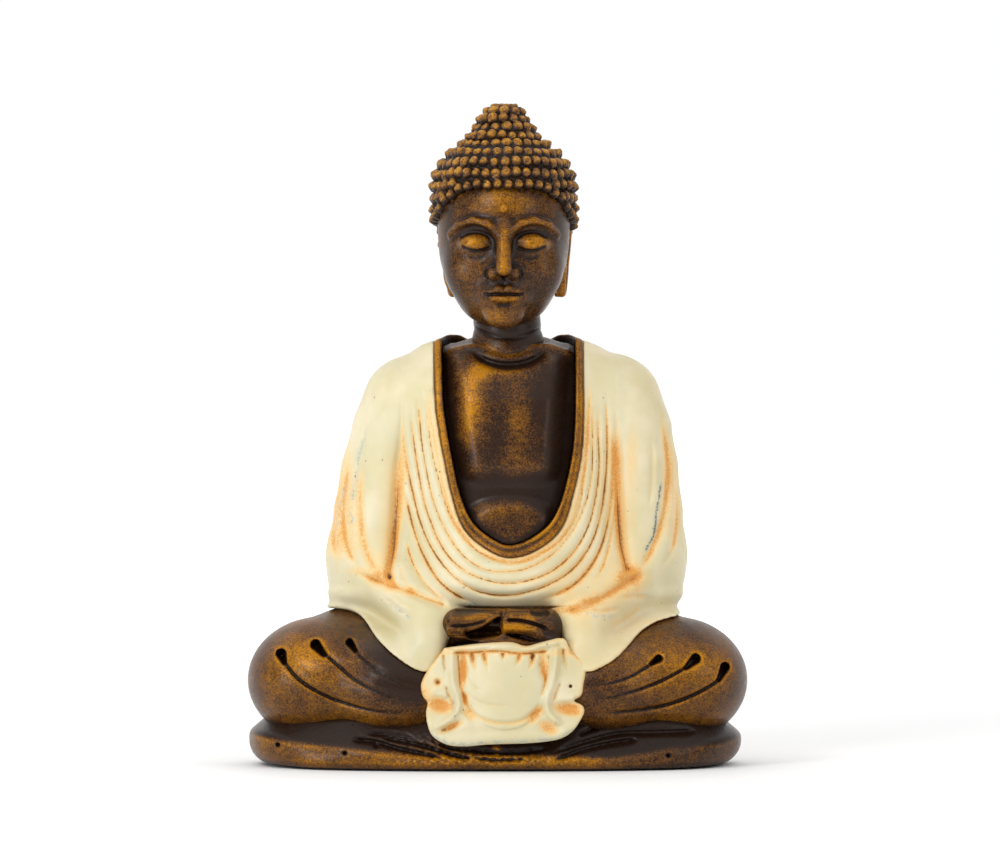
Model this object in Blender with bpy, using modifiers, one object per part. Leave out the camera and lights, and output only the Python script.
"""A seated figure in meditation, in cross-legged pose on a low slab, as a set of separate solids.

The frame is in metres: +Z up, the figure faces -Y, and the origin is at the middle of the slab's underside.
right_ and left_ are the figure's own sides: its right side is at -X.
"""

import math

import bmesh
import bpy
import numpy as np
from mathutils import Matrix, Vector
from mathutils.bvhtree import BVHTree

MM = 0.001

# Driving dimensions, in millimetres
HEIGHT = 250.0
HALF_WIDTH = 94.2
HALF_DEPTH = 52.0
SLAB_TOP = 14.0
GAP = 0.3
BODY_X = 4.0  # the torso stands a little to the figure's left of the slab's middle
HEAD_X = 2.2
NECK_Y = 3.0
NECK_R = 13.2
NECK_LOW, NECK_HIGH = 151.0, 172.0
NECKLINE_LOW = 83.0
NECKLINE_RISE = 62.0
NECKLINE_HALF = 26.6
NECKBAND_R = 1.7
COLLAR_Z = 160.0
HAIR_TOP = 236.0
KNOT_TOP = 246.5
SEG, RING = 22, 11

# Torso sections: height, middle x, middle y, half width, half depth, all in millimetres
TORSO = (
    (14.3, 0.0, 20.0, 50.0, 30.5),
    (30.0, 0.5, 19.0, 52.5, 32.0),
    (46.0, 2.0, 15.0, 51.0, 34.0),
    (60.0, 3.0, 10.0, 47.0, 35.5),
    (80.0, 3.5, 6.0, 44.5, 35.0),
    (100.0, 4.0, 5.0, 43.5, 33.0),
    (120.0, 4.0, 4.5, 44.5, 31.5),
    (138.0, 4.5, 5.0, 45.0, 29.0),
    (148.0, 4.5, 5.0, 41.5, 25.0),
    (155.0, 4.5, 4.8, 35.0, 20.5),
    (160.0, 4.2, 4.5, 27.5, 16.0),
    (163.5, 4.0, 4.5, 19.0, 11.0),
)


def clear_scene():
    for obj in list(bpy.data.objects):
        bpy.data.objects.remove(obj, do_unlink=True)


def collection(name):
    made = bpy.data.collections.new(name)
    bpy.context.scene.collection.children.link(made)
    return made


def material(name, colour, roughness, metallic=0.0):
    made = bpy.data.materials.new(name)
    made.use_nodes = True
    shader = made.node_tree.nodes["Principled BSDF"]
    shader.inputs["Base Color"].default_value = (*colour, 1.0)
    shader.inputs["Roughness"].default_value = roughness
    shader.inputs["Metallic"].default_value = metallic
    return made


clear_scene()
FIGURE = collection("seated_figure")
CUTTERS = collection("cutters")
BRONZE = material("bronze_paint", (0.115, 0.056, 0.02), 0.42, 0.25)
CREAM = material("cream_paint", (0.84, 0.76, 0.55), 0.45)


def link(name, bm, paint=None, smooth=True):
    """A new object from a bmesh: a part with its paint, or a cutter without."""
    bmesh.ops.recalc_face_normals(bm, faces=bm.faces)
    mesh = bpy.data.meshes.new(name)
    bm.to_mesh(mesh)
    bm.free()
    obj = bpy.data.objects.new(name, mesh)
    if paint:
        mesh.materials.append(paint)
        FIGURE.objects.link(obj)
        if smooth:
            mesh.shade_smooth()
            mesh.set_sharp_from_angle(angle=math.radians(40))
    else:
        obj.hide_render = True
        obj.display_type = "WIRE"
        CUTTERS.objects.link(obj)
    return obj


def boolean(obj, other, operation="DIFFERENCE"):
    made = obj.modifiers.new(operation.lower() + "_" + other.name, "BOOLEAN")
    made.object = other
    made.operation = operation
    made.solver = "EXACT"
    return obj


def ball_points(balls, grow, seg=SEG, ring=RING):
    """The surface points of ellipsoids given as (centre, radii) in millimetres."""
    bm = bmesh.new()
    for (x, y, z), (rx, ry, rz) in balls:
        place = Matrix.Translation(Vector((x, y, z)) * MM) @ Matrix.Diagonal(
            ((rx + grow) * MM, (ry + grow) * MM, (rz + grow) * MM, 1)
        )
        bmesh.ops.create_uvsphere(
            bm, u_segments=seg, v_segments=ring, radius=1, matrix=place
        )
    found = [v.co.copy() for v in bm.verts]
    bm.free()
    return found


def hull_mesh(balls, grow=0.0, seg=SEG, ring=RING):
    """One smooth convex solid around some ellipsoids."""
    bm = bmesh.new()
    for co in ball_points(balls, grow, seg, ring):
        bm.verts.new(co)
    made = bmesh.ops.convex_hull(bm, input=bm.verts)
    loose = {g for g in made["geom_interior"] + made["geom_unused"]}
    bmesh.ops.delete(
        bm,
        geom=[g for g in loose if isinstance(g, bmesh.types.BMVert)],
        context="VERTS",
    )
    bmesh.ops.dissolve_limit(
        bm, angle_limit=math.radians(2.0), verts=bm.verts, edges=bm.edges
    )
    bmesh.ops.triangulate(bm, faces=bm.faces)
    return bm


def keep_above(bm, point, normal):
    """Cuts a closed solid by a plane, keeps the side the normal points to, and closes the cut."""
    bmesh.ops.bisect_plane(
        bm,
        geom=bm.verts[:] + bm.edges[:] + bm.faces[:],
        dist=1e-7,
        plane_co=Vector(point) * MM,
        plane_no=Vector(normal),
        clear_inner=True,
    )
    edges = [e for e in bm.edges if e.is_boundary]
    bmesh.ops.holes_fill(bm, edges=edges, sides=0)
    return bm


def loft(rings, close=True):
    """A closed solid through rings that have the same number of points."""
    bm = bmesh.new()
    rows = [[bm.verts.new(Vector(p) * MM) for p in ring] for ring in rings]
    count = len(rows[0])
    for low, high in zip(rows, rows[1:]):
        for i in range(count):
            j = (i + 1) % count
            bm.faces.new((low[i], low[j], high[j], high[i]))
    bm.faces.new(rows[0][::-1])
    bm.faces.new(rows[-1])
    return bm


def torso_at(z):
    """Middle x, middle y, half width and half depth of the torso at a height."""
    table = np.array(TORSO)
    return [float(np.interp(z, table[:, 0], table[:, k])) for k in range(1, 5)]


def torso_mesh(grow=0.0, segments=32, power=2.3):
    rings = []
    for z, cx, cy, rx, ry in TORSO:
        ring = []
        for i in range(segments):
            a = 2 * math.pi * i / segments
            c, s = math.cos(a), math.sin(a)
            ring.append(
                (
                    cx + (rx + grow) * math.copysign(abs(c) ** (2 / power), c),
                    cy + (ry + grow) * math.copysign(abs(s) ** (2 / power), s),
                    z + (grow if z > 150 else 0.0) - (grow if z < 20 else 0.0),
                )
            )
        rings.append(ring)
    return loft(rings)


def torso_front(x, z, grow=0.0, power=2.3):
    """The y of the torso's front surface."""
    cx, cy, rx, ry = torso_at(z)
    share = min(1.0, abs(x - cx) / (rx + grow))
    return cy - (ry + grow) * (1 - share**power) ** (1 / power)


def neckline(offset=0.0, count=15):
    """The U-shaped neckline seen from the front, from the right shoulder round to the left, as (x, z)."""
    half, low, rise = NECKLINE_HALF + offset, NECKLINE_LOW - offset, NECKLINE_RISE + offset
    points = []
    for i in range(count):
        a = math.pi * i / (count - 1)
        c, s = math.cos(a), math.sin(a)
        points.append(
            (
                BODY_X - half * math.copysign(abs(c) ** (2 / 2.2), c),
                low + rise - rise * abs(s) ** (2 / 2.2),
            )
        )
    return points


def neckline_space(name, offset):
    """The space that the bare neck and chest take: the neckline from the front, and everything above the collar behind it."""
    outline = neckline(offset, 25)
    outline = [(outline[0][0], 185.0), *outline, (outline[-1][0], 185.0)]
    front = loft([[(x, -60.0, z) for x, z in outline], [(x, NECK_Y + 1.5 + offset, z) for x, z in outline]])
    low = COLLAR_Z - offset
    behind = loft(
        [[(-50.0, -4.0, z), (58.0, -4.0, z), (58.0, 60.0, z), (-50.0, 60.0, z)] for z in (low, 190.0)]
    )
    return joined(name, [front, behind])


def turned(name, profile, centre, depth_scale=1.0, steps=32, paint=None, grow=0.0):
    """A closed solid turned about a vertical axis. The profile runs top to bottom as (radius, z), its ends on the axis."""
    mesh = bpy.data.meshes.new(name)
    bm = bmesh.new()
    verts = [bm.verts.new(((r + (grow if r > 0 else 0.0)) * MM, 0, z * MM)) for r, z in profile]
    for a, b in zip(verts, verts[1:]):
        bm.edges.new((a, b))
    bm.to_mesh(mesh)
    bm.free()
    obj = bpy.data.objects.new(name, mesh)
    (FIGURE if paint else CUTTERS).objects.link(obj)
    screw = obj.modifiers.new("turn", "SCREW")
    screw.steps = screw.render_steps = steps
    screw.use_merge_vertices = True
    screw.merge_threshold = 0.00001
    obj.location = (centre[0] * MM, centre[1] * MM, 0)
    graph = bpy.context.evaluated_depsgraph_get()
    solid = bpy.data.meshes.new_from_object(obj.evaluated_get(graph))
    bpy.data.objects.remove(obj, do_unlink=True)
    bm = bmesh.new()
    bm.from_mesh(solid)
    bmesh.ops.remove_doubles(bm, verts=bm.verts, dist=1e-6)
    bmesh.ops.transform(
        bm,
        matrix=Matrix.Translation((centre[0] * MM, centre[1] * MM, 0))
        @ Matrix.Diagonal((1, depth_scale, 1, 1)),
        verts=bm.verts,
    )
    return link(name, bm, paint)


def tube(name, points, radius, paint=None, ring=False):
    """A round bar along a path, with closed ends or closed into a ring."""
    curve = bpy.data.curves.new(name, "CURVE")
    curve.dimensions = "3D"
    curve.bevel_depth = radius * MM
    curve.bevel_resolution = 2
    curve.use_fill_caps = True
    spline = curve.splines.new("POLY")
    spline.points.add(len(points) - 1)
    for point, co in zip(spline.points, points):
        point.co = (*(Vector(co) * MM), 1)
    spline.use_cyclic_u = ring
    obj = bpy.data.objects.new(name + "_path", curve)
    CUTTERS.objects.link(obj)
    graph = bpy.context.evaluated_depsgraph_get()
    solid = bpy.data.meshes.new_from_object(obj.evaluated_get(graph))
    bpy.data.objects.remove(obj, do_unlink=True)
    bm = bmesh.new()
    bm.from_mesh(solid)
    bmesh.ops.remove_doubles(bm, verts=bm.verts, dist=1e-6)
    return link(name, bm, paint)


def joined(name, meshes, paint=None):
    """One solid from several that overlap."""
    first = link(name, meshes[0], paint)
    for i, bm in enumerate(meshes[1:]):
        boolean(first, link(f"{name}_more_{i}", bm), "UNION")
    return first


# ---------------------------------------------------------------- slab
def slab_outline(grow=0.0):
    """Plan of the slab: broad at the knees, bowed at the front and round behind the seat."""
    points = []
    for i in range(48):
        a = 2 * math.pi * i / 48
        c, s = math.cos(a), math.sin(a)
        power = 2.7 if s < 0 else 2.05
        depth = 50.0 if s < 0 else HALF_DEPTH
        points.append(
            (
                (92.2 + grow) * math.copysign(abs(c) ** (2 / power), c),
                (depth + grow) * math.copysign(abs(s) ** (2 / power), s),
            )
        )
    return points


def slab():
    curve = bpy.data.curves.new("slab_outline", "CURVE")
    curve.dimensions = "2D"
    curve.fill_mode = "BOTH"
    curve.extrude = SLAB_TOP / 2 * MM
    spline = curve.splines.new("POLY")
    outline = slab_outline()
    spline.points.add(len(outline) - 1)
    for point, (x, y) in zip(spline.points, outline):
        point.co = (x * MM, y * MM, 0, 1)
    spline.use_cyclic_u = True
    obj = bpy.data.objects.new("slab_outline", curve)
    CUTTERS.objects.link(obj)
    graph = bpy.context.evaluated_depsgraph_get()
    solid = bpy.data.meshes.new_from_object(obj.evaluated_get(graph))
    bpy.data.objects.remove(obj, do_unlink=True)
    bm = bmesh.new()
    bm.from_mesh(solid)
    bmesh.ops.remove_doubles(bm, verts=bm.verts, dist=1e-6)
    bmesh.ops.translate(bm, vec=(0, 0, SLAB_TOP / 2 * MM), verts=bm.verts)
    made = link("base_slab", bm, BRONZE)
    bevel = made.modifiers.new("edges", "BEVEL")
    bevel.width = 3.2 * MM
    bevel.segments = 2
    bevel.limit_method = "ANGLE"
    bevel.angle_limit = math.radians(50)
    return made


base = slab()


# ---------------------------------------------------------------- cloth hanging in front of the shins
CLOTH = (  # x, z round the hanging cloth, seen from the front
    (-14.0, 44.2), (-3.0, 45.2), (10.0, 45.4), (22.0, 45.2), (27.5, 41.0), (31.0, 33.0),
    (33.2, 25.0), (32.0, 18.0), (27.0, 11.5), (18.0, 8.8), (2.0, 8.2), (-13.0, 8.8),
    (-21.5, 12.5), (-25.5, 19.5), (-27.0, 28.0), (-24.0, 36.0), (-19.0, 42.5),
)


def cloth_mesh(grow=0.0):
    middle = Vector((3.0, 27.5))
    rings = []
    # The cloth bows forward in the middle, so its front ring is inset and stands proud of its edge.
    for inset, y_edge in ((-grow, -41.0 + grow), (-grow, -47.5 - grow), (2.0 - grow, -50.5 - grow), (7.0 - grow, -HALF_DEPTH - grow)):
        ring = []
        for x, z in CLOTH:
            out = Vector((x, z)) - middle
            out = out * (1 - inset / out.length)
            ring.append((middle.x + out.x, y_edge, middle.y + out.y))
        rings.append(ring)
    return loft(rings)


lap_cloth = link("lap_cloth", cloth_mesh(), CREAM)
cloth_space = link("cloth_space", cloth_mesh(GAP))
boolean(base, cloth_space)


# ---------------------------------------------------------------- hands, one resting in the other
def finger(a, b, r, grow):
    return hull_mesh([(a, (r, r, r)), (b, (r, r, r))], grow, 8, 6)


def hand_meshes(side, grow=0.0):
    """Palm, four fingers and a thumb. The figure's right hand is uppermost."""
    if side == "right":
        palm = [((-15.0, -33.0, 54.8), (6.0, 6.0, 3.6)), ((-2.0, -38.0, 54.2), (5.0, 8.2, 3.0))]
        roots, tips, z0, z1 = -2.0, 11.0, 54.2, 53.8
        thumb = ((-11.0, -37.5, 57.2), (2.2, -40.0, 59.0))
    else:
        palm = [((22.0, -33.0, 50.4), (6.0, 6.0, 3.6)), ((9.0, -38.0, 49.0), (5.0, 8.2, 2.6))]
        roots, tips, z0, z1 = 9.0, -9.0, 48.7, 48.5
        thumb = ((19.0, -38.0, 52.6), (7.0, -41.0, 59.4))
    meshes = [hull_mesh(palm, grow, 12, 6)]
    for i, y in enumerate((-44.6, -40.8, -37.0, -33.4)):
        short = 1.0 - 0.12 * abs(i - 1.2)
        r = 2.05 if i < 3 else 1.8
        meshes.append(
            finger((roots, y, z0), (roots + (tips - roots) * short, y + 0.4, z1), r, grow)
        )
    meshes.append(finger(*thumb, 2.0, grow))
    return meshes


right_hand = joined("right_hand", hand_meshes("right"), BRONZE)
left_hand = joined("left_hand", hand_meshes("left"), BRONZE)
right_hand_space = joined("right_hand_space", hand_meshes("right", GAP))
left_hand_space = joined("left_hand_space", hand_meshes("left", GAP))
boolean(left_hand, right_hand_space)

# ---------------------------------------------------------------- folded legs
LEG = {
    "right": [
        ((-66.0, -9.0, 36.6), (28.2, 31.0, 21.6)),
        ((-48.0, 8.0, 38.5), (24.0, 26.0, 21.0)),
        ((-20.0, 18.0, 34.0), (20.0, 22.0, 18.0)),
        ((-12.0, -33.5, 27.0), (12.0, 12.5, 12.0)),
        ((-40.0, -26.0, 30.0), (20.0, 19.0, 17.0)),
    ],
    "left": [
        ((66.0, -9.0, 36.6), (28.2, 31.0, 21.6)),
        ((50.0, 8.0, 38.5), (24.0, 26.0, 21.0)),
        ((22.0, 18.0, 34.0), (20.0, 22.0, 18.0)),
        ((13.0, -33.5, 27.0), (12.0, 12.5, 12.0)),
        ((41.0, -26.0, 30.0), (20.0, 19.0, 17.0)),
    ],
}


def leg_mesh(side, grow=0.0):
    bm = hull_mesh(LEG[side], grow)
    keep_above(bm, (0, 0, SLAB_TOP + GAP - grow), (0, 0, 1))
    edge = 0.5 + (-GAP / 2 if side == "right" else GAP / 2) * (1 if grow == 0 else 0)
    keep_above(bm, (edge, 0, 0), (-1, 0, 0) if side == "right" else (1, 0, 0))
    return bm


NOTCH = {  # the round head and the narrow tail of each drop-shaped notch on the knees, as (x, z)
    "right": (((-82.2, 43.0), (-79.6, 38.0)), ((-68.6, 46.8), (-64.6, 42.0)), ((-56.0, 47.0), (-52.6, 42.6))),
    "left": (((61.6, 41.4), (57.0, 37.8)), ((76.6, 42.0), (71.0, 37.4)), ((86.8, 38.6), (83.8, 33.0))),
}


def leg_with_notches(side):
    bm = leg_mesh(side)
    tree = BVHTree.FromBMesh(bm)
    leg = link(f"{side}_leg", bm, BRONZE)
    for i, ends in enumerate(NOTCH[side]):
        balls = []
        for (x, z), r in zip(ends, (2.3, 1.0)):
            hit = tree.ray_cast(Vector((x, -100.0, z)) * MM, Vector((0, 1, 0)))[0]
            balls.append(((x, hit.y / MM, z), (r, r, r)))
        boolean(leg, link(f"{side}_notch_{i}", hull_mesh(balls, 0.0, 10, 6)))
    return leg


right_leg = leg_with_notches("right")
left_leg = leg_with_notches("left")
right_leg_space = link("right_leg_space", leg_mesh("right", GAP))
left_leg_space = link("left_leg_space", leg_mesh("left", GAP))
for leg in (right_leg, left_leg):
    boolean(leg, cloth_space)
    boolean(leg, right_hand_space)
    boolean(leg, left_hand_space)

# ---------------------------------------------------------------- neck, bare torso, robe and its trim
NECK_PROFILE = (
    (0.0, NECK_HIGH), (11.4, NECK_HIGH), (11.8, 166.0), (12.6, 162.5), (13.6, 160.0),
    (13.8, 157.4), (12.9, 155.6), (14.0, 153.4), (13.0, NECK_LOW), (0.0, NECK_LOW),
)
neck = turned("neck", NECK_PROFILE, (3.2, NECK_Y), 1.0, 28, BRONZE)
neck_space = turned(
    "neck_space",
    ((0.0, NECK_HIGH + GAP), (11.4, NECK_HIGH + GAP), *NECK_PROFILE[2:-2], (13.0, NECK_LOW - GAP), (0.0, NECK_LOW - GAP)),
    (3.2, NECK_Y), 1.0, 28, None, GAP,
)

band_path = [
    (x, torso_front(x, z), z) for x, z in neckline(0.0, 29)
]
rise = [
    NECKLINE_LOW + NECKLINE_RISE + k * (COLLAR_Z - NECKLINE_LOW - NECKLINE_RISE) / 6 for k in range(1, 6)
]
for side in (1, -1):
    x = BODY_X + side * NECKLINE_HALF
    step = [(x, torso_front(x, z), z) for z in rise]
    band_path = band_path + step if side == 1 else step[::-1] + band_path
# Behind the neck the trim closes round the collar.
cx, cy, rx, ry = torso_at(COLLAR_Z)
for i in range(17):
    a = math.pi * (-0.04 + 1.08 * i / 16)
    band_path.append((cx + rx * math.cos(a), cy + ry * math.sin(a), COLLAR_Z))
neckband = tube("neckband", band_path, NECKBAND_R, BRONZE, True)
neckband_space = tube("neckband_space", band_path, NECKBAND_R + GAP, None, True)

bare_torso = link("bare_torso", torso_mesh(-1.2), BRONZE)
boolean(bare_torso, neckline_space("neckline_inside", -GAP / 2), "INTERSECT")
boolean(bare_torso, neckband_space)
boolean(bare_torso, neck_space)

robe = link("torso_robe", torso_mesh(), CREAM)
boolean(robe, neckline_space("neckline_cut", GAP / 2))
boolean(robe, neckband_space)
boolean(robe, neck_space)
boolean(robe, right_leg_space)
boolean(robe, left_leg_space)
boolean(robe, right_hand_space)
boolean(robe, left_hand_space)

# ---------------------------------------------------------------- sleeves
SLEEVE = {
    "right": (
        [((-30.5, 6.0, 137.0), (20.8, 20.5, 20.0)), ((-45.4, 8.0, 79.0), (19.6, 21.5, 19.5))],
        [((-45.4, 6.0, 76.0), (18.5, 21.0, 17.0)), ((-25.5, -31.0, 56.0), (10.5, 11.5, 10.5)), ((-42.0, -20.0, 53.0), (14.0, 15.0, 10.0))],
        [((-27.0, -31.0, 55.0), (10.0, 12.0, 10.0)), ((-27.0, -41.0, 44.0), (7.5, 5.5, 6.5))],
    ),
    "left": (
        [((41.0, 6.0, 137.5), (20.8, 20.5, 20.0)), ((51.4, 8.0, 79.0), (19.6, 21.5, 19.5))],
        [((51.4, 6.0, 76.0), (18.5, 21.0, 17.0)), ((31.5, -31.0, 56.0), (10.5, 11.5, 10.5)), ((48.0, -20.0, 53.0), (14.0, 15.0, 10.0))],
        [((33.0, -31.0, 55.0), (10.0, 12.0, 10.0)), ((33.5, -41.0, 44.0), (7.5, 5.5, 6.5))],
    ),
}
torso_space = link("torso_space", torso_mesh(GAP))
for side in ("right", "left"):
    sleeve = joined(f"{side}_sleeve", [hull_mesh(b) for b in SLEEVE[side]], CREAM)
    boolean(sleeve, torso_space)
    boolean(sleeve, right_leg_space if side == "right" else left_leg_space)
    boolean(sleeve, right_hand_space)
    boolean(sleeve, left_hand_space)
    boolean(sleeve, cloth_space)
    boolean(sleeve, neckband_space)

# ---------------------------------------------------------------- head
CRANIUM = [
    ((HEAD_X, 3.0, 207.0), (25.6, 29.0, 25.0)),
    ((HEAD_X, -2.5, 190.0), (23.8, 24.5, 18.0)),
    ((HEAD_X, -7.5, 177.0), (17.0, 17.5, 13.5)),
]
FACE = (  # raised features: nose, lips and lids
    [((HEAD_X, -26.0, 201.0), (2.0, 2.0, 3.0)), ((HEAD_X, -29.4, 188.0), (3.6, 2.6, 2.2))],
    [((HEAD_X, -24.6, 180.6), (6.2, 2.0, 2.2))],
    [((HEAD_X - 10.4, -21.0, 198.2), (6.0, 3.4, 3.4))],
    [((HEAD_X + 10.4, -21.0, 198.2), (6.0, 3.4, 3.4))],
)
head = joined("head", [hull_mesh(CRANIUM), *(hull_mesh(f, 0.0, 12, 8) for f in FACE)], BRONZE)
boolean(head, neck_space)
head_space = link("head_space", hull_mesh(CRANIUM, GAP))

# ---------------------------------------------------------------- hair in rows, topknot and its cap
def rows_profile(points, pitch, depth, grow=0.0):
    """A profile through (radius, z) points, top to bottom, with a rounded ridge for each row of curls."""
    table = np.array(sorted((z, r) for r, z in points))
    low, high = table[0, 0], table[-1, 0]
    rows = max(1, round((high - low) / pitch))
    found = []
    for i in range(2 * rows, -1, -1):
        z = low + (high - low) * i / (2 * rows)
        r = float(np.interp(z, table[:, 0], table[:, 1]))
        found.append((r + grow - (depth if i % 2 == 0 else 0.0), z))
    return found


HAIR = ((14.6, HAIR_TOP), (20.6, 232.6), (25.2, 228.0), (27.4, 222.0), (28.4, 214.0), (28.4, 206.0), (27.2, 198.0), (25.0, 190.0), (21.5, 184.0))


def hair_solid(name, paint=None, grow=0.0):
    rows = rows_profile(HAIR, 4.4, 1.0, grow)
    return turned(
        name,
        ((0.0, HAIR_TOP + grow), *rows, (0.0, 184.0 - grow)),
        (HEAD_X, 3.6), 1.1, 28, paint,
    )


def hairline_block(name, drop=0.0):
    """Everything in front of and below the hairline, which falls from the brow to the nape."""
    rings = []
    for x in (-40.0, 44.0):
        rings.append(
            [(x, -60.0, 219.0 - drop), (x, -24.0, 219.0 - drop), (x, -6.0, 207.0 - drop), (x, 10.0, 203.5 - drop),
             (x, 20.0, 186.0 - drop), (x, 46.0, 183.0 - drop), (x, 46.0, 150.0), (x, -60.0, 150.0)]
        )
    return link(name, loft(rings))


hair = hair_solid("hair_cap", BRONZE)
boolean(hair, hairline_block("below_hairline"))
boolean(hair, head_space)

KNOT = ((8.4, KNOT_TOP), (10.0, 244.0), (11.6, 241.4), (13.6, 238.4), (15.2, HAIR_TOP + GAP))
knot = turned(
    "topknot",
    ((0.0, KNOT_TOP), *rows_profile(KNOT, 3.4, 0.8), (0.0, HAIR_TOP + GAP)),
    (HEAD_X, 3.6), 1.0, 24, BRONZE,
)
cap = turned(
    "topknot_cap",
    ((0.0, HEIGHT), (4.6, HEIGHT), (6.9, 249.3), (7.5, 248.0), (6.8, KNOT_TOP + GAP), (0.0, KNOT_TOP + GAP)),
    (HEAD_X, 3.6), 1.0, 24, BRONZE,
)

# ---------------------------------------------------------------- ears with long lobes
hair_space = hair_solid("hair_space", None, GAP)
below = hairline_block("below_hairline_space", GAP)
boolean(hair_space, below)
for side, s in (("right", -1), ("left", 1)):
    ear = link(
        f"{side}_ear",
        hull_mesh(
            [
                ((HEAD_X + s * 24.6, 5.0, 199.5), (3.0, 5.6, 5.6)),
                ((HEAD_X + s * 22.6, 3.0, 184.0), (2.6, 3.4, 4.2)),
            ],
            0.0, 16, 10,
        ),
        BRONZE,
    )
    boolean(ear, head_space)
    boolean(ear, hair_space)

# ---------------------------------------------------------------- forehead mark
mark = turned(
    "forehead_mark",
    ((0.0, 1.7), (0.9, 1.4), (1.5, 0.7), (1.6, 0.0), (1.5, -0.7), (0.9, -1.4), (0.0, -1.7)),
    (0.0, 0.0), 1.0, 14, BRONZE,
)
mark.location = (HEAD_X * MM, -25.9 * MM, 209.0 * MM)
boolean(mark, head_space)
